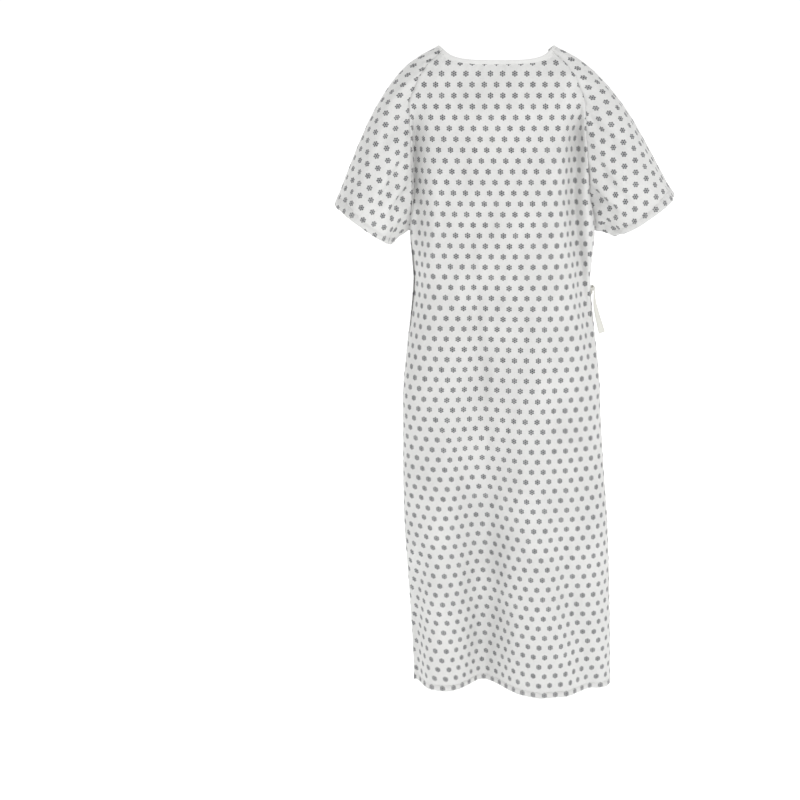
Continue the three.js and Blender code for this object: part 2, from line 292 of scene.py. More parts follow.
# The two knots: the same tape pulled round on itself and flattened by hand, one at the neck where
# the bow is drawn, and one at the hip. Each is a small three-lobed tangle of creased tape.
def pulled_knot(name, node, centre, radii, tape_half, body):
    around, section = 96, 12
    turn = np.linspace(0, 2 * math.pi, around + 1)
    loop = np.column_stack(
        [
            radii[0] * 0.42 * (np.sin(turn) + 1.25 * np.sin(2 * turn)),
            radii[1] * 0.55 * -np.sin(3 * turn),
            radii[2] * 0.42 * (np.cos(turn) - 1.25 * np.cos(2 * turn)),
        ]
    )
    along = unit(np.roll(loop[:-1], -1, axis=0) - np.roll(loop[:-1], 1, axis=0))
    along = np.vstack([along, along[:1]])
    out = unit(loop + 1e-5)
    sideways = unit(np.cross(along, out))
    out = unit(np.cross(sideways, along))
    angle = np.linspace(0, 2 * math.pi, section + 1)
    crease = 1 + 0.12 * np.sin(5 * turn)[:, None] * np.cos(2 * angle)
    spots = (
        np.array(centre)
        + loop[:, None]
        + (tape_half * crease * np.cos(angle))[..., None] * sideways[:, None]
        + (0.42 * tape_half * crease * np.sin(angle))[..., None] * out[:, None]
    )
    run, width = turn * radii[0], angle * tape_half
    grain = np.stack(np.broadcast_arrays(width[None, :], run[:, None]), axis=-1)
    knot = cloth_grid(name, section, around, spots, grain, [white_tape], 0, closed=True)
    face_outwards(knot)
    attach(knot, body)
    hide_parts(node)


for name, node, centre, radii, tape_half in (
    ("neck_bow_knot", "neck_knot", (0.074, 0.076, -0.080), (0.0105, 0.0075, 0.0095), 0.0045),
    ("side_tie_knot", "side_knot", (0.188, 0.033, -0.456), (0.0085, 0.0085, 0.0095), 0.0040),
):
    pulled_knot(name, node, centre, radii, tape_half, "outer_flap")


# ------------------------------------------------------------------ front panel
# One piece of light plain-weave cotton and polyester, printed with slate florets in staggered rows
# 19 mm apart. It hangs from the two raglan seams, bows out over the chest and falls in deep folds.
PLAIN, WRAP = -1, 1
GOWN_LENGTH = 1.235
UNDERARM_DROP = 0.340
SEAM_TOP = 0.009
CLOTH_WALL = 0.0008
FLORET_PITCH = 0.0221
FLORET_ROW = 0.01926
FLORET_RADIUS = 0.0048
FIRST_FLORET = (0.0025, 0.0046)
FLORET_RING = 0.0022
INK = (0.078, 0.081, 0.092, 1)


def printed_cloth_finish(name, ink, ground):
    """Off-white plain weave with the floret print. ink is how strongly the print shows."""
    material, tree, shader, grain = start_finish(name, 0.82, 0.2)

    # Each point's place in the nearest floret of two interleaved lattices
    half = (FLORET_PITCH / 2, FLORET_ROW, 1.0)
    spots, reaches = [], []
    for step in (0, 1):
        shift = (FIRST_FLORET[0] + step * FLORET_PITCH / 2, FIRST_FLORET[1] + step * FLORET_ROW, 0)
        moved = add_node(tree, "ShaderNodeVectorMath", {0: grain, 1: shift}, operation="ADD")
        wrapped = add_node(
            tree, "ShaderNodeVectorMath",
            {0: moved.outputs[0], 1: half, 2: tuple(-h for h in half)}, operation="WRAP",
        ).outputs[0]
        flat = add_node(
            tree, "ShaderNodeVectorMath", {0: wrapped, 1: (1, 1, 0)}, operation="MULTIPLY"
        )
        spots.append(flat.outputs[0])
        reach = add_node(tree, "ShaderNodeVectorMath", {0: flat.outputs[0]}, operation="LENGTH")
        reaches.append(reach.outputs["Value"])
    nearer = maths(tree, "LESS_THAN", reaches[1], reaches[0])
    spot = add_node(
        tree, "ShaderNodeMix", {0: nearer, 4: spots[0], 5: spots[1]}, data_type="VECTOR"
    ).outputs[1]
    reach = maths(tree, "MINIMUM", *reaches)
    axes = add_node(tree, "ShaderNodeSeparateXYZ", {0: spot})
    angle = maths(tree, "ARCTAN2", axes.outputs[1], axes.outputs[0])
    petals = maths(tree, "COSINE", maths(tree, "MULTIPLY", angle, 6.0))

    # Six petals with a pale ring and spokes inside, and a dark eye. Ink creeps along the yarns.
    yarns = threads(tree, grain, 0.0, 2600, 320)
    creep = maths(tree, "MULTIPLY", maths(tree, "SUBTRACT", yarns, 0.5), 0.0016)
    reach = maths(tree, "ADD", reach, creep)
    rim = maths(tree, "MULTIPLY_ADD", petals, -0.15 * FLORET_RADIUS, FLORET_RADIUS)

    def edge(value, low, high):
        return add_node(
            tree, "ShaderNodeMapRange", {0: value, 1: low, 2: high, 3: 0.0, 4: 1.0},
            interpolation_type="SMOOTHSTEP",
        ).outputs[0]

    inside = maths(tree, "SUBTRACT", 1.0, edge(maths(tree, "SUBTRACT", reach, rim), -0.0003, 0.0003))
    ring = maths(tree, "ABSOLUTE", maths(tree, "SUBTRACT", reach, FLORET_RING))
    ring = maths(tree, "SUBTRACT", 1.0, edge(ring, 0.0003, 0.0007))
    spokes = maths(tree, "MULTIPLY", edge(petals, 0.55, 0.95), edge(reach, 0.0018, 0.0024))
    pale = maths(tree, "MAXIMUM", ring, spokes)
    inked = maths(tree, "MULTIPLY", inside, maths(tree, "MULTIPLY_ADD", pale, -0.66, 1.0))
    patchy = add_node(tree, "ShaderNodeTexNoise", {"Vector": grain, "Scale": 60.0}).outputs[0]
    inked = maths(tree, "MULTIPLY", inked, maths(tree, "MULTIPLY_ADD", patchy, 0.5, 0.70))
    inked = maths(tree, "MULTIPLY", inked, ink)

    # The ground: uneven yarns, faint cloudy washing marks
    clouds = add_node(
        tree, "ShaderNodeTexNoise", {"Vector": grain, "Scale": 9.0, "Detail": 4.0}
    ).outputs[0]
    coarse = threads(tree, grain, 0.0, 900, 120)
    uneven = maths(tree, "ADD", maths(tree, "MULTIPLY", clouds, 0.4), maths(tree, "MULTIPLY", coarse, 0.6))
    darker = tuple(c * 0.90 for c in ground)
    lighter = tuple(min(c * 1.05, 0.95) for c in ground)
    cloth = tint(tree, edge(uneven, 0.3, 0.7), (*darker, 1), (*lighter, 1))
    colour = tint(tree, inked, cloth, INK)
    tree.links.new(colour, shader.inputs["Base Color"])

    # The weave stands up yarn over yarn, and the cloth is faintly crumpled from the wash
    crumple = add_node(
        tree, "ShaderNodeTexNoise", {"Vector": grain, "Scale": 70.0, "Detail": 3.0}
    ).outputs[0]
    height = maths(tree, "ADD", yarns, maths(tree, "MULTIPLY", crumple, 0.9))
    bump = add_node(tree, "ShaderNodeBump", {"Height": height, "Strength": 0.35, "Distance": 0.0007})
    tree.links.new(bump.outputs[0], shader.inputs["Normal"])
    let_light_through(tree, shader, colour, bump.outputs[0], 0.22)
    return material


GROUND = (0.80, 0.80, 0.79)
cloth_face = printed_cloth_finish("printed cloth, right side", 1.0, GROUND)
cloth_back = printed_cloth_finish("printed cloth, reverse", 0.22, GROUND)
hem_cloth = printed_cloth_finish("printed cloth, turned hem", 0.92, tuple(c * 0.985 for c in GROUND))


def profile(stations):
    """A smooth curve through a few stations, as a function. Stations run from low to high."""
    at, to = (np.array(column, float) for column in zip(*stations))

    def curve(x):
        x = np.clip(np.asarray(x, float), at[0], at[-1])
        k = np.clip(np.searchsorted(at, x, side="left") - 1, 0, len(at) - 2)
        share = (x - at[k]) / (at[k + 1] - at[k])
        eased = share * share * (3 - 2 * share)
        return to[k] + (to[k + 1] - to[k]) * 0.5 * (share + eased)

    return curve


def smoothstep(x, low, high):
    """A smooth rise from 0 at low to 1 at high."""
    share = np.clip((x - low) / (high - low), 0, 1)
    return share * share * (3 - 2 * share)


def skirt_share(drop):
    """How far down the skirt a drop is: 0 at the underarm, 1 at the hem."""
    return np.clip((drop - UNDERARM_DROP) / (GOWN_LENGTH - UNDERARM_DROP), 0, 1)


seam_half_width = profile(
    [(SEAM_TOP, 0.098), (0.042, 0.130), (0.062, 0.144), (0.105, 0.160), (0.260, 0.163), (0.340, 0.172)]
)
skirt_half = profile([(0, 0.172), (0.1, 0.166), (0.35, 0.1884), (0.65, 0.198), (1, 0.195)])
lean = profile([(0.100, 0), (0.340, 0.01488), (0.660, 0.01824), (1.235, 0.048)])
panel_depth = profile([(0, 0.040), (0.120, 0.0752), (0.340, 0.080), (0.740, 0.089), (1.235, 0.098)])
seam_depth = profile(
    [(SEAM_TOP, 0.0224), (0.060, 0.0448), (0.105, 0.048), (0.210, 0.0368), (0.300, 0.0192), (0.340, 0)]
)


def half_width(drop):
    """From the middle line to a side seam."""
    return np.where(drop < UNDERARM_DROP, seam_half_width(drop), skirt_half(skirt_share(drop)))


def hill(x, centre, low_side, high_side):
    """A smooth hump, 1 at its centre, whose two sides may fall at different rates."""
    return np.exp(-(((x - centre) / np.where(x < centre, low_side, high_side)) ** 2))


def deep_fold(x, drop):
    """The plain side's one deep fold runs down from the waist and drifts towards +X."""
    share = skirt_share(drop)
    return 0.088 * share**1.2 * hill(x, -0.034 + 0.026 * share, 0.050, 0.050)


def body_point(across, drop, facing, layer):
    """A point on the plain or the wrap side: across runs from -1 at the -X seam to 1 at the +X."""
    turn = across * math.pi / 2
    half = half_width(drop) - layer
    bent = smoothstep(drop, 0.25 * UNDERARM_DROP, UNDERARM_DROP)
    x = lean(drop) + half * (across + (np.sin(turn) - across) * bent)
    sewn = np.where(drop < UNDERARM_DROP, seam_depth(drop), 0)
    edge = sewn - layer * np.minimum(1, sewn / 0.020)
    middle = panel_depth(drop) - layer
    bulge = np.maximum(np.cos(turn), 0) ** (0.6 + 0.2 * skirt_share(drop))
    y = edge + (middle - edge) * bulge
    if facing < 0:
        y = y - deep_fold(x, drop)
    return np.stack(np.broadcast_arrays(x, facing * y, -drop), axis=-1)


def wash_creases(x, drop, phase):
    """Low soft creases that run mostly down the cloth."""
    bend = 0.35 * np.sin(drop * 9 + phase)
    return (
        0.0011 * np.sin(x * 83 + 7 * drop + phase + bend)
        + 0.0008 * np.sin(x * 141 - 13 * drop + 2.1 * phase)
        + 0.0006 * np.sin(x * 60 + 47 * drop + 0.7 * phase)
        + 0.0004 * np.sin(x * 210 + 29 * drop + 1.9 * phase + 2 * bend)
    )


def armhole_fold(x, drop, from_seam, sizes):
    """Beside each armhole the bowed chest steps back to the sewn edge, as one long soft fold."""
    right_line = profile(
        [(0.09, 0.152), (0.20, 0.147), (0.275, 0.144), (0.335, 0.150), (0.42, 0.163), (0.55, 0.182)]
    )(drop)
    left_line = profile(
        [(0.09, -0.150), (0.20, -0.148), (0.30, -0.143), (0.42, -0.149), (0.55, -0.156)]
    )(drop)
    strong = smoothstep(drop, 0.085, 0.18) * (1 - smoothstep(drop, 0.44, 0.66))
    left, right = sizes
    push = right * hill(x, right_line, 0.020, 0.014) + left * hill(x, left_line, 0.013, 0.019)
    return push * strong * smoothstep(from_seam, 0.0, 0.012)


def plain_side(across, drop):
    """The plain side with all its folds. Each is a push inwards, or outwards where it is negative."""
    spots = body_point(across, drop, PLAIN, 0.0)
    x = spots[..., 0]
    from_seam = (1 - np.abs(across)) * half_width(drop)
    free = smoothstep(from_seam, 0.0, 0.014)
    share = skirt_share(drop)
    push = armhole_fold(x, drop, from_seam, (0.027, 0.036))
    # Inwards: a groove that slants down to the +X hem corner, and one beside the -X seam
    grooves = 0.019 * smoothstep(drop, 0.74, 1.15) * hill(x, 0.208 * drop - 0.0635, 0.028, 0.022)
    grooves = grooves + 0.011 * smoothstep(drop, 0.90, 1.15) * hill(x, -0.139, 0.010, 0.012)
    push = push + free * grooves
    # By the hem the cloth turns in a little more beside that seam, and swells out over the +X side
    turns = 0.020 * hill(x, -0.150, 0.026, 0.022) - 0.006 * hill(x, 0.150, 0.035, 0.020)
    push = push + smoothstep(from_seam, 0.0, 0.045) * smoothstep(drop, 0.85, 1.20) * turns
    # A broad swell of the +X side, and a small pinch at the waist
    push = push - 0.006 * smoothstep(drop, 0.40, 0.9) * hill(x, 0.075 + 0.02 * share, 0.03, 0.03)
    pinch = smoothstep(drop, 0.27, 0.40) * (1 - smoothstep(drop, 0.55, 0.8))
    push = push + 0.006 * pinch * hill(x, 0.10 * drop - 0.085, 0.014, 0.014)
    spots[..., 1] += push + wash_creases(x, drop, 0.4) * free
    return spots


def facing_out(spots, facing):
    """Which way each corner of a grid faces."""
    out = unit(np.cross(np.gradient(spots, axis=1), np.gradient(spots, axis=0)))
    return out * np.sign((out[..., 1] * facing).mean())


def seam_pucker(distance, along):
    """The small gathers that stitching draws into cloth beside a seam, and the seam's own groove."""
    near = np.exp(-np.abs(distance) / 0.016)
    gather = 0.0008 * np.sin(along * 2 * math.pi / 0.017 + 1.3 * np.sin(along * 31))
    return near * gather - 0.0006 * np.exp(-((distance / 0.0030) ** 2))


def neck_drop(across, facing):
    """The neckline: nearly flat in the middle, rising to the neck corners."""
    middle, power = (0.0295, 3.2) if facing < 0 else (0.068, 3)
    share = np.minimum(1, np.abs(across) / 0.999)
    return middle + (SEAM_TOP - middle) * share**power


def weave_of_panel(across, spots):
    """Where the weave lies in a panel: by arc to each side of its straight middle line, and down."""
    step = np.linalg.norm(np.diff(spots[..., :2], axis=1), axis=-1)
    arc = np.concatenate([np.zeros((len(spots), 1)), np.cumsum(step, axis=1)], axis=1)
    arc -= np.array([[np.interp(0.0, a, s)] for a, s in zip(across, arc)])
    return np.stack([arc, -spots[..., 2]], axis=-1)


def between(limits, drop, share):
    """Part of the way across from one limit of a panel to the other."""
    return limits[0](drop) + (limits[1](drop) - limits[0](drop)) * share


def lay_panel(name, facing, surface, limits, columns, rows, seams):
    """A body panel from under its neck binding to inside its hem. seams says which side is sewn."""
    u = np.linspace(0, 1, columns + 1)[None, :]
    v = np.linspace(0, 1, rows + 1)[:, None] ** 1.15
    top = neck_drop(between(limits, np.array(SEAM_TOP), u), facing) + 0.003
    drop = top + (GOWN_LENGTH - 0.008 - top) * v
    across = between(limits, drop, u)
    spots = surface(across, drop)
    gather = np.zeros_like(drop)
    for side in seams:
        gather = gather + seam_pucker((1 - side * across) * half_width(drop), drop)
    gather = gather + 0.5 * seam_pucker(drop - top - 0.006, across * 0.15)
    gather = gather + 0.5 * seam_pucker(GOWN_LENGTH - 0.013 - drop, across * 0.2)
    held = np.ones_like(drop)
    for side in seams:
        held = held * smoothstep((1 - side * across) * half_width(drop), -0.0001, 0.001)
    spots = spots + (gather * held)[..., None] * facing_out(spots, facing)
    grain = weave_of_panel(across, spots)
    faces = [cloth_face, cloth_back]
    out = facing_out(spots, facing)
    return cloth_grid(name, columns, rows, spots, grain, faces, CLOTH_WALL, out=out)


def sewn_edge(side):
    return lambda drop: side + 0.0 * drop


PLAIN_LIMITS = (sewn_edge(-1), sewn_edge(1))
front = lay_panel("front_panel_cloth", PLAIN, plain_side, PLAIN_LIMITS, 190, 330, (-1, 1))
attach(front, "root")
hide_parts("front_panel")


# ------------------------------------------------------------------ front hem and neck binding
# The bottom edge is turned up twice, 12 mm deep, and stitched through in white thread. The neck
# edge is bound with a folded strip of plain white cotton cut on the bias, 7 mm deep each side.
STITCH_INSET = 0.0100
STITCH_LIFT = 0.0007
STITCH_STEPS = 400
white_bias = white_cotton_finish("white bias strip", (0.67, 0.67, 0.658, 1), (0.75, 0.75, 0.738, 1))
HEM_SECTION = [
    (0.0122, 0.0006), (0.0112, 0.0009), (0.0100, 0.0004), (0.0086, 0.0011), (0.0050, 0.0013),
    (0.0014, 0.0013), (0.0002, 0.0008), (-0.0002, 0.0), (0.0002, -0.0010), (0.0014, -0.0015),
    (0.0050, -0.0015), (0.0086, -0.0013), (0.0100, -0.0008), (0.0114, -0.0013), (0.0122, -0.0008),
    (0.0122, 0.0006),
]
BINDING_SECTION = [
    (0.0072, 0.0006), (0.0069, 0.0010), (0.0056, 0.0008), (0.0035, 0.0012), (0.0013, 0.0013),
    (0.0002, 0.0009), (-0.0003, 0.0), (0.0002, -0.0009), (0.0013, -0.0013), (0.0035, -0.0012),
    (0.0056, -0.0008), (0.0069, -0.0010), (0.0072, -0.0006), (0.0072, 0.0006),
]


def edge_band(name, place, steps, section, outwards, materials, weave, ruffle):
    """A folded strip along an edge. place(share, inset) is the cloth's surface beside the edge, and
    section the strip's closed outline as pairs of inset and height over that surface."""
    share = np.linspace(0, 1, steps + 1)[:, None]
    inset = np.array([s[0] for s in section])[None, :]
    height = np.array([s[1] for s in section])[None, :]
    here = place(share, np.maximum(inset, 0.0))
    ahead = place(np.minimum(share + 0.5 / steps, 1), np.maximum(inset, 0))
    behind = place(np.maximum(share - 0.5 / steps, 0), np.maximum(inset, 0))
    inward = place(share, np.maximum(inset, 0) + 1e-4) - here
    out = unit(np.cross(ahead - behind, inward))
    out = out * np.sign((out * outwards(here)).sum(axis=-1).mean())
    edge = place(share, 0 * inset)
    run = run_along(edge[:, 0])[:, None]
    wavy = ruffle * (np.sin(run * 2 * math.pi / 0.013 + inset * 400) + 0.6 * np.sin(run * 310 + 2))
    beyond = np.minimum(inset, 0.0)
    spots = here + (height * (1 + 0.10 * np.sin(run * 190)) + wavy)[..., None] * out
    spots = spots + beyond[..., None] * unit(inward)
    grain = weave(run, inset, spots)
    strip = cloth_grid(name, len(section) - 1, steps, spots, grain, materials, 0, closed=True)
    face_outwards(strip, shut_ends=True)
    return strip


def bottom_hem(name, facing, surface, limits, steps):
    """The turned bottom edge of a panel."""
    def place(share, inset):
        drop = GOWN_LENGTH - inset + 0 * share
        return surface(between(limits, drop, share), drop)

    def weave(run, inset, spots):
        across = between(limits, np.full(steps + 1, GOWN_LENGTH), np.linspace(0, 1, steps + 1))
        start = np.interp(0.0, across, run[:, 0])
        return np.stack(np.broadcast_arrays(run - start, GOWN_LENGTH - inset), axis=-1)

    towards = np.array([0.0, facing, 0.0])
    return edge_band(
        name, place, steps, HEM_SECTION, lambda spots: towards, [hem_cloth], weave, 0.00025
    )


def bias_weave(run, inset, spots):
    """A bias strip's weave lies slanting across it."""
    return np.stack(np.broadcast_arrays(run * 0.7 + inset, run * 0.7 - inset), axis=-1)


def neck_binding(name, facing, surface, limits, steps):
    """The bias strip over a panel's neck edge."""
    def place(share, inset):
        drop = neck_drop(between(limits, np.array(SEAM_TOP), share), facing) + inset
        return surface(between(limits, drop, share), drop)

    towards = np.array([0.0, facing, 0.0])
    return edge_band(
        name, place, steps, BINDING_SECTION, lambda spots: towards, [white_bias], bias_weave, 0.0001
    )


def sew(name, line, out, pitch=0.0036, thread=0.00030):
    """A row of machine stitches: short white threads lying on the cloth along a line of points."""
    run = run_along(line)
    at = np.arange(pitch, run[-1] - pitch, pitch)
    spots = np.column_stack([np.interp(at, run, line[:, k]) for k in range(3)])
    after = np.column_stack([np.interp(at + 0.001, run, line[:, k]) for k in range(3)])
    faces = unit(np.column_stack([np.interp(at, run, out[:, k]) for k in range(3)]))
    bm = bmesh.new()
    for spot, ahead, face in zip(spots, after, faces):
        along = Vector(ahead - spot).normalized()
        up = Vector(face)
        side = along.cross(up).normalized()
        turn = Matrix((along, side, along.cross(side))).transposed().to_4x4()
        size = Matrix.Diagonal((pitch * 0.40, thread, thread, 1))
        bmesh.ops.create_icosphere(
            bm, subdivisions=1, radius=1, matrix=Matrix.Translation(spot) @ turn @ size
        )
    for face in bm.faces:
        face.smooth = True
    mesh = bpy.data.meshes.new(name)
    bm.to_mesh(mesh)
    bm.free()
    mesh.uv_layers.new(name="Grain")
    mesh.materials.append(white_bias)
    row = place_new(name, mesh)
    return row


def hem_stitches(name, facing, surface, limits):
    """The one row that holds a bottom hem up, on the outside."""
    drop = np.full(STITCH_STEPS, GOWN_LENGTH - STITCH_INSET)
    across = between(limits, drop, np.linspace(0, 1, STITCH_STEPS))
    line = surface(across, drop)
    higher = surface(across, drop - 0.001)
    out = unit(np.cross(np.gradient(line, axis=0), higher - line))
    out = out * np.sign((out[:, 1] * facing).mean())
    return sew(name, line + STITCH_LIFT * out, out)


front_hem = bottom_hem("front_hem_turned", PLAIN, plain_side, PLAIN_LIMITS, 300)
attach(front_hem, "root")
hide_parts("front_hem")
front_binding = neck_binding("front_neck_bias", PLAIN, plain_side, PLAIN_LIMITS, 140)
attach(front_binding, "root")
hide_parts("front_neck_binding")
front_stitches = hem_stitches("front_hem_stitches", PLAIN, plain_side, PLAIN_LIMITS)
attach(front_stitches, "root")


# ------------------------------------------------------------------ inner wrap panel
# The under half of the wrap: sewn at the +X seam, its free edge turned in and hidden under the
# outer half. Same cloth, hem and neck binding as the front.
LAYER_STEP = 0.006
EDGE_HEM_SHARE = 0.82
EDGE_STITCH_INSET = EDGE_HEM_SHARE * STITCH_INSET
EDGE_HEM_SECTION = [(inset * EDGE_HEM_SHARE, height) for inset, height in HEM_SECTION]


def outer_layer(across):
    """How far in the outer half lies: none at its sewn side, one step out over the other."""
    return -LAYER_STEP * (across + 1) / 2


def inner_layer(across):
    """How far in the inner half lies: none at its sewn side, one step in at its free side."""
    return LAYER_STEP * (1 - across) / 2


def wrap_side(across, drop, layer, phase):
    """The wrap side with its folds, for a panel that lies one layer in or out."""
    spots = body_point(across, drop, WRAP, layer)
    x = spots[..., 0]
    from_seam = (1 - np.abs(across)) * half_width(drop)
    free = smoothstep(from_seam, 0.0, 0.014)
    push = armhole_fold(x, drop, from_seam, (0.018, 0.012))
    grown = smoothstep(drop, 0.52, 1.20)
    push = push + 0.030 * grown * free * hill(x, 0.045 - 0.04 * (drop - 0.9), 0.030, 0.026)
    push = push + 0.022 * grown * free * hill(x, -0.088 + 0.03 * (drop - 0.9), 0.026, 0.022)
    push = push + 0.012 * grown * free * hill(x, 0.165 + 0.05 * (drop - 0.9), 0.014, 0.014)
    # Drag lines fan out from where the side tie pulls
    from_tie = np.stack([0.186 - x, 0.440 - drop], axis=-1)
    reach = np.linalg.norm(from_tie, axis=-1)
    angle = np.arctan2(from_tie[..., 1], from_tie[..., 0])
    fan = sum(
        size * np.exp(-(((angle - math.radians(way)) / math.radians(wide)) ** 2))
        for way, wide, size in ((8, 5, 0.8), (24, 4.5, 1.0), (37, 5, 1.3), (52, 5, 0.8), (-18, 7, 0.7))
    )
    pull = smoothstep(reach, 0.025, 0.070) * (1 - smoothstep(reach, 0.13, 0.30))
    push = push + 0.0050 * fan * pull * free
    spots[..., 1] -= push + wash_creases(x, drop, phase) * free
    return spots


def inner_side(across, drop):
    return wrap_side(across, drop, inner_layer(across), 1.7)


def outer_side(across, drop):
    return wrap_side(across, drop, outer_layer(across), 1.9)


def across_at(x, drop, layer_of):
    """How far across a wrap panel has a given x, found by halving."""
    low, high = -np.ones(np.shape(drop)), np.ones(np.shape(drop))
    for _ in range(28):
        middle = (low + high) / 2
        short = body_point(middle, drop, WRAP, layer_of(middle))[..., 0] < x
        low, high = np.where(short, middle, low), np.where(short, high, middle)
    return (low + high) / 2


EDGE_TOP = 0.068
inner_edge_x = profile([(0, -0.070), (EDGE_TOP, -0.070), (GOWN_LENGTH, -0.110)])
outer_edge_x = profile([
    (0, 0.072), (EDGE_TOP, 0.072), (0.280, 0.106), (0.404, 0.138), (0.445, 0.180),
    (GOWN_LENGTH, 0.238),
])


def inner_edge(drop):
    return across_at(inner_edge_x(drop), drop, inner_layer)


def outer_edge(drop):
    return across_at(outer_edge_x(drop), drop, outer_layer)


def free_edge_hem(name, surface, edge_x, layer_of, inwards, steps):
    """The turned and stitched free edge of a wrap panel, from its neck binding to its hem."""
    top = EDGE_TOP + 0.004
    bottom = GOWN_LENGTH - 0.004

    def place(share, inset):
        drop = top + (bottom - top) * share + 0 * inset
        return surface(across_at(edge_x(drop) + inwards * inset, drop, layer_of), drop)

    def weave(run, inset, spots):
        across = place(np.linspace(0, 1, steps + 1)[:, None], np.zeros((1, 1)))[..., 0]
        return np.stack(np.broadcast_arrays(across + inwards * inset, -spots[..., 2]), axis=-1)

    towards = np.array([0.0, WRAP, 0.0])
    return edge_band(
        name, place, steps, EDGE_HEM_SECTION, lambda spots: towards, [hem_cloth], weave, 0.0003
    )


def edge_stitches(name, surface, edge_x, layer_of, inwards):
    """The row that holds a turned free edge down."""
    drop = np.linspace(EDGE_TOP + 0.010, GOWN_LENGTH - 0.014, 900)

    def beside_edge(inset):
        return surface(across_at(edge_x(drop) + inwards * inset, drop, layer_of), drop)

    line, further = beside_edge(EDGE_STITCH_INSET), beside_edge(EDGE_STITCH_INSET + 0.001)
    out = unit(np.cross(np.gradient(line, axis=0), further - line))
    out = out * np.sign(out[:, 1].mean())
    return sew(name, line + STITCH_LIFT * out, out)


INNER_LIMITS = (inner_edge, sewn_edge(1))
inner = lay_panel("inner_wrap_cloth", WRAP, inner_side, INNER_LIMITS, 130, 300, (1,))
inner_hem = bottom_hem("inner_wrap_hem", WRAP, inner_side, INNER_LIMITS, 200)
inner_edge_strip = free_edge_hem("inner_wrap_free_edge", inner_side, inner_edge_x, inner_layer, 1, 300)
inner_binding = neck_binding("inner_neck_bias", WRAP, inner_side, INNER_LIMITS, 110)
inner_stitches = hem_stitches("inner_hem_stitches", WRAP, inner_side, INNER_LIMITS)
for piece, node, slot in (
    (inner, "back_panel_inner", "printed_cloth"),
    (inner_hem, "back_panel_inner_hem", "hem_cloth"),
    (inner_edge_strip, "back_panel_inner_edge_hem", "hem_cloth"),
    (inner_binding, "inner_neck_binding", "white_tape"),
):
    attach(piece, "root")
    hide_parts(node)
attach(inner_stitches, "root")


# ------------------------------------------------------------------ outer wrap panel
# The top half of the wrap: sewn at the -X seam, laid right across the other side and tied there.
# Its free edge runs down from the neck knot and slants out to the hip tie.
OUTER_LIMITS = (sewn_edge(-1), outer_edge)
outer = lay_panel("outer_wrap_cloth", WRAP, outer_side, OUTER_LIMITS, 190, 330, (-1,))
outer_hem = bottom_hem("outer_wrap_hem", WRAP, outer_side, OUTER_LIMITS, 300)
outer_edge_strip = free_edge_hem("outer_wrap_free_edge", outer_side, outer_edge_x, outer_layer, -1, 330)
outer_binding = neck_binding("outer_neck_bias", WRAP, outer_side, OUTER_LIMITS, 140)
outer_stitches = hem_stitches("outer_hem_stitches", WRAP, outer_side, OUTER_LIMITS)
outer_edge_stitches = edge_stitches("outer_edge_stitches", outer_side, outer_edge_x, outer_layer, -1)
for piece, nodes, slot in (
    (outer, ("back_panel_outer", "back_panel_outer_side"), "printed_cloth"),
    (outer_hem, ("back_panel_outer_hem", "back_panel_outer_side_hem"), "hem_cloth"),
    (outer_edge_strip, ("back_panel_outer_edge_hem",), "hem_cloth"),
    (outer_binding, ("outer_neck_binding",), "white_tape"),
    (outer_stitches, (), "white_tape"),
    (outer_edge_stitches, (), "white_tape"),
):
    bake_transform(piece)
    if nodes:
        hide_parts(*nodes)


# ------------------------------------------------------------------ raglan sleeves
# Each sleeve is one piece, sewn to both panels along the slanting raglan seams and to itself under
# the arm, with a short stretch of bound neck edge at its top and a turned, stitched hem.
NECK_SHARE = 0.1
NECK_REACH = 0.1045
SHOULDER = (0.201, -0.046)
SLEEVE_LENGTH = 0.264
SLEEVE_HEM_HALF_WIDTH = 0.064
SLEEVE_HEM_HALF_DEPTH = 0.078
SLEEVE_HEM_SLOPE = math.radians(35.5)


def sleeve_seam(side, turn):
    """The loop where a sleeve is sewn on: neck corner, plain seam, underarm, wrap seam."""
    facing = np.where(turn < 0.5, -1.0, 1.0)
    share = 1 - np.abs(1 - 2 * turn)
    drop = SEAM_TOP + (UNDERARM_DROP - SEAM_TOP) * np.clip((share - NECK_SHARE) / (1 - NECK_SHARE), 0, 1)
    sewn = body_point(np.full(np.shape(turn), float(side)), drop, WRAP, 0.0)
    part = np.clip(share / NECK_SHARE, 0, 1)
    neck = share < NECK_SHARE
    x = np.where(neck, side * NECK_REACH + (sewn[..., 0] - side * NECK_REACH) * part**2, sewn[..., 0])
    y = np.where(neck, sewn[..., 1] * part, sewn[..., 1])
    z = np.where(neck, -0.003 - (SEAM_TOP - 0.003) * part**2, -drop)
    return np.stack([x, facing * y, z], axis=-1)


def sleeve_hem_ring(side, droop, turn):
    """The loop of a sleeve's hem, from its top through the plain side and round."""
    angle = 2 * math.pi * turn
    down = SLEEVE_HEM_HALF_WIDTH * (1 - np.cos(angle))
    top_x = SHOULDER[0] + SLEEVE_LENGTH * math.cos(droop)
    top_z = SHOULDER[1] - SLEEVE_LENGTH * math.sin(droop)
    return np.stack(
        [
            side * (top_x - down * math.cos(SLEEVE_HEM_SLOPE)),
            -SLEEVE_HEM_HALF_DEPTH * np.sin(angle),
            top_z - down * math.sin(SLEEVE_HEM_SLOPE),
        ],
        axis=-1,
    )


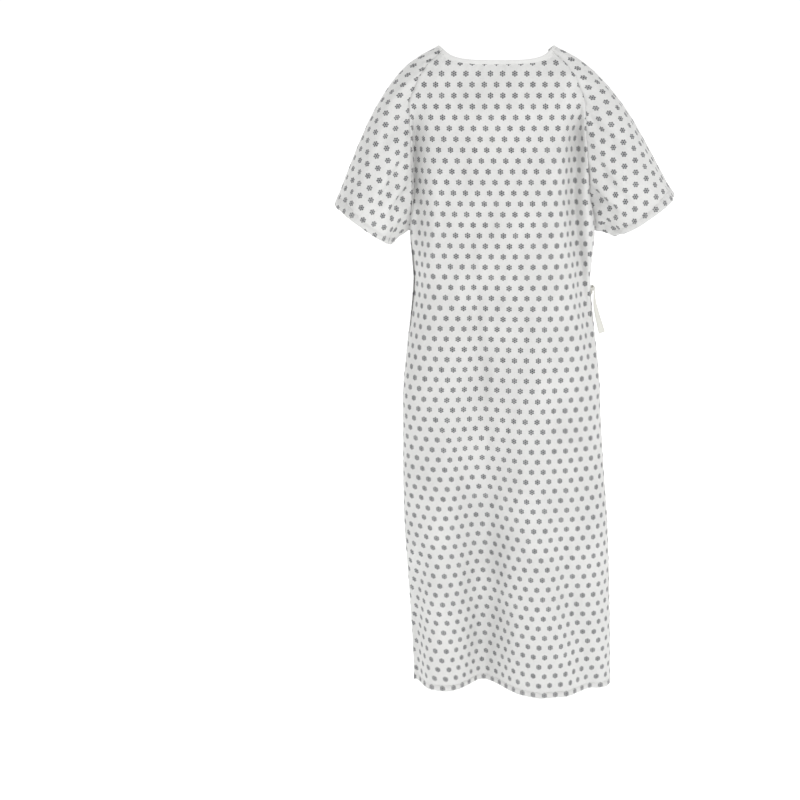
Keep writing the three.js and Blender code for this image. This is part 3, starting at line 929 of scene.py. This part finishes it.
def sleeve_point(side, droop, turn, along):
    """Each line from seam to hem is a curve pulled towards the shoulder corner near the top."""
    turn = turn % 1.0
    start, end = sleeve_seam(side, turn), sleeve_hem_ring(side, droop, turn)
    upper = np.maximum(0, np.cos(2 * math.pi * turn))[..., None] ** 1.5
    corner = (start + end) / 2
    shoulder = np.stack(
        np.broadcast_arrays(side * SHOULDER[0], corner[..., 1], SHOULDER[1]), axis=-1
    )
    corner = corner + (shoulder - corner) * upper
    corner[..., 1] -= 0.014 * np.sin(2 * math.pi * turn)
    first = start + (corner - start) * 0.9
    second = end + (corner - end) * 0.85
    t = along[..., None]
    return (1 - t) ** 3 * start + 3 * (1 - t) ** 2 * t * first + 3 * (1 - t) * t**2 * second + t**3 * end


def sleeve_line(side, droop, turn):
    """How far it is straight from seam to hem, along one line of a sleeve."""
    ends = [sleeve_point(side, droop, turn, end + 0 * turn) for end in (0, 1)]
    return np.linalg.norm(ends[0] - ends[1], axis=-1)


def sleeve_folds(side, turn, along):
    """How far the sleeve's folds push it in (+): they run from the armhole out towards the hem."""
    push = 0
    for start, slant, narrow, size, begin, end in (
        (0.215, -0.050, 0.016, 0.0085, -0.10, 0.62),
        (0.300, -0.020, 0.022, 0.0070, 0.05, 0.95),
        (0.395, -0.050, 0.020, 0.0100, -0.05, 0.80),
        (0.460, -0.020, 0.018, 0.0060, 0.20, 1.10),
        (0.640, 0.060, 0.022, 0.0080, -0.05, 0.85),
        (0.760, 0.040, 0.020, 0.0070, -0.10, 0.70),
        (0.560, 0.020, 0.020, 0.0060, 0.10, 1.00),
    ):
        line = start + slant * along + 0.010 * side * np.sin(3 * along)
        strength = smoothstep(along, begin, begin + 0.25) * (1 - smoothstep(along, end - 0.3, end))
        push = push + size * strength * hill(turn, line, narrow, narrow)
    return push


def sleeve_surface(side, droop, turn, along):
    """A sleeve with its folds and creases, and which way it faces."""
    spots = sleeve_point(side, droop, turn, along)
    axis = np.array([side * math.cos(droop), 0, -math.sin(droop)])
    around = sleeve_point(side, droop, turn + 1e-3, along) - sleeve_point(side, droop, turn - 1e-3, along)
    nearer, further = np.maximum(along - 1e-3, 0), np.minimum(along + 1e-3, 1)
    outwards = sleeve_point(side, droop, turn, further) - sleeve_point(side, droop, turn, nearer)
    out = unit(np.cross(around, outwards)) * side
    centre = spots.mean(axis=tuple(range(spots.ndim - 1)))
    out = out * np.sign(((spots - centre) * out).sum(axis=-1).mean())
    held = smoothstep(along, 0.0, 0.06)
    creases = wash_creases(turn % 1.0 * 0.45, along * 0.25, 2.6 + side)
    push = (sleeve_folds(side, turn % 1.0, along) + creases) * held
    return spots - push[..., None] * out, out, axis


def weave_of_sleeve(spots, axis):
    """Where the weave lies in a sleeve: down along its axis, and around it by arc from the ridge,
    measured on cuts square to the axis."""
    down = (spots * axis).sum(axis=-1)
    off_axis = spots - down[..., None] * axis
    levels = np.linspace(down.min(), down.max(), 80)
    ridge = spots.shape[1] // 2
    cut = np.stack(
        [
            np.stack([np.interp(levels, down[:, j], off_axis[:, j, k]) for k in range(3)], axis=-1)
            for j in range(spots.shape[1])
        ],
        axis=1,
    )
    step = np.linalg.norm(np.diff(cut, axis=1), axis=-1)
    arc = np.concatenate([np.zeros((len(levels), 1)), np.cumsum(step, axis=1)], axis=1)
    arc -= arc[:, ridge : ridge + 1]
    around = np.stack(
        [np.interp(down[:, j], levels, arc[:, j]) for j in range(spots.shape[1])], axis=1
    )
    return np.stack([around, down], axis=-1)


AROUND, ALONG = 200, 130
for name, side, droop, bend in (
    ("left", 1, math.radians(59.8), (0.187, 0.280)),
    ("right", -1, math.radians(68.5), (-0.160, -0.255)),
):
    def ring(turn, along):
        return sleeve_surface(side, droop, turn, along)

    turn = 0.5 + np.linspace(0, 1, AROUND + 1)[None, :] + 0 * np.zeros((ALONG + 1, 1))
    along = np.linspace(0, 1, ALONG + 1)[:, None] ** 1.1 * 0.985 + 0 * turn
    spots, out, axis = ring(turn, along)
    length = np.linalg.norm(sleeve_point(side, droop, turn[0], 1 + 0 * turn[0]) - spots[0], axis=-1)
    gather = seam_pucker(along * length, turn * 0.7) * smoothstep(along, 0, 0.003)
    gather = gather + 0.5 * seam_pucker((0.955 - along) * length, turn * 0.45)
    under = np.minimum(np.abs(turn % 1.0 - 0.5), 0.5) * 0.45
    gather = gather - 0.0014 * np.exp(-((under / 0.0025) ** 2)) * smoothstep(along, 0, 0.02)
    spots = spots + gather[..., None] * out
    spots[:, -1] = spots[:, 0]
    grain = weave_of_sleeve(spots, axis)
    sleeve = cloth_grid(
        f"{name}_sleeve_cloth", AROUND, ALONG, spots, grain, [cloth_face, cloth_back], CLOTH_WALL,
        closed=True, out=out,
    )

    def hem_place(share, inset):
        around = 0.5 + share + 0 * inset
        return ring(around, 1 - inset / sleeve_line(side, droop, around))[0]

    def away_from_axis(spots):
        centre = spots[:, 0].mean(axis=0)
        return spots - centre

    def hem_weave(run, inset, spots):
        return np.stack(np.broadcast_arrays(run - run.mean(), (spots * axis).sum(axis=-1)), axis=-1)

    hem = edge_band(
        f"{name}_sleeve_turned_hem", hem_place, 260, EDGE_HEM_SECTION, away_from_axis, [hem_cloth],
        hem_weave, 0.0003,
    )
    share = np.linspace(0, 1, 500)[:, None]
    line = hem_place(share, np.full((1, 1), EDGE_STITCH_INSET))[:, 0]
    face = unit(line - line.mean(axis=0) - ((line - line.mean(axis=0)) @ axis)[:, None] * axis)
    stitches = sew(f"{name}_sleeve_stitches", line + 0.0009 * face, face)

    def neck_place(share, inset):
        around = 1 - 0.055 + 0.11 * share + 0 * inset
        return ring(around, inset / sleeve_line(side, droop, around))[0]

    def upwards(spots):
        return np.array([side * 0.5, 0.0, 1.0])

    neck = edge_band(
        f"{name}_sleeve_neck_bias", neck_place, 60, BINDING_SECTION, upwards, [white_bias],
        bias_weave, 0.0001,
    )
    body = f"{name}_sleeve"
    for piece, nodes, slot in (
        (sleeve, (f"{name}_sleeve_shoulder", f"{name}_sleeve"), "printed_cloth"),
        (hem, (f"{name}_sleeve_hem",), "hem_cloth"),
        (stitches, (), "white_tape"),
    ):
        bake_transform(piece)
        if nodes:
            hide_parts(*nodes)
    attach(neck, "root")


# ------------------------------------------------------------------ studio
# A wide pale floor well below the hem, a bright even surround, and two large soft lamps: one in
# front on the right and one behind, so that folds turn grey on the flanks that face away.
FLOOR_Z = -1.42
LAMP_AIM = (0, 0, -0.6)
LAMP_SIZE = 1.4
LAMP_POWER = 33
floor_mesh = bmesh.new()
bmesh.ops.create_circle(floor_mesh, cap_ends=True, segments=96, radius=40)
bmesh.ops.translate(floor_mesh, verts=floor_mesh.verts[:], vec=(0, 0, FLOOR_Z))
floor_data = bpy.data.meshes.new("floor")
floor_mesh.to_mesh(floor_data)
floor_mesh.free()
floor = place_new("floor", floor_data)
floor_finish = bpy.data.materials.new("floor paint")
floor_finish.use_nodes = True
paint = floor_finish.node_tree.nodes["Principled BSDF"]
paint.inputs["Base Color"].default_value = (0.93, 0.93, 0.93, 1)
paint.inputs["Roughness"].default_value = 0.9
paint.inputs["Emission Color"].default_value = (1, 1, 1, 1)
paint.inputs["Emission Strength"].default_value = 0.55
floor_data.materials.append(floor_finish)

surround = bpy.data.worlds.new("surround")
surround.use_nodes = True
sky = surround.node_tree
seen = sky.nodes.new("ShaderNodeLightPath").outputs["Is Camera Ray"]
brightness = maths(sky, "MULTIPLY_ADD", seen, 0.24, 0.83)
sky.links.new(brightness, sky.nodes["Background"].inputs["Strength"])
sky.nodes["Background"].inputs["Color"].default_value = (1, 1, 1, 1)
bpy.context.scene.world = surround
bpy.context.scene.view_settings.view_transform = "Standard"


def soft_lamp(name, place):
    lamp = bpy.data.lights.new(name, "AREA")
    lamp.size = LAMP_SIZE
    lamp.energy = LAMP_POWER
    stand = place_new(name, lamp)
    stand.location = place
    stand.rotation_euler = (Vector(LAMP_AIM) - Vector(place)).to_track_quat("-Z", "Y").to_euler()


soft_lamp("main lamp", (2.3, -3.3, 1.5))
soft_lamp("back lamp", (-2.3, 3.3, 1.5))
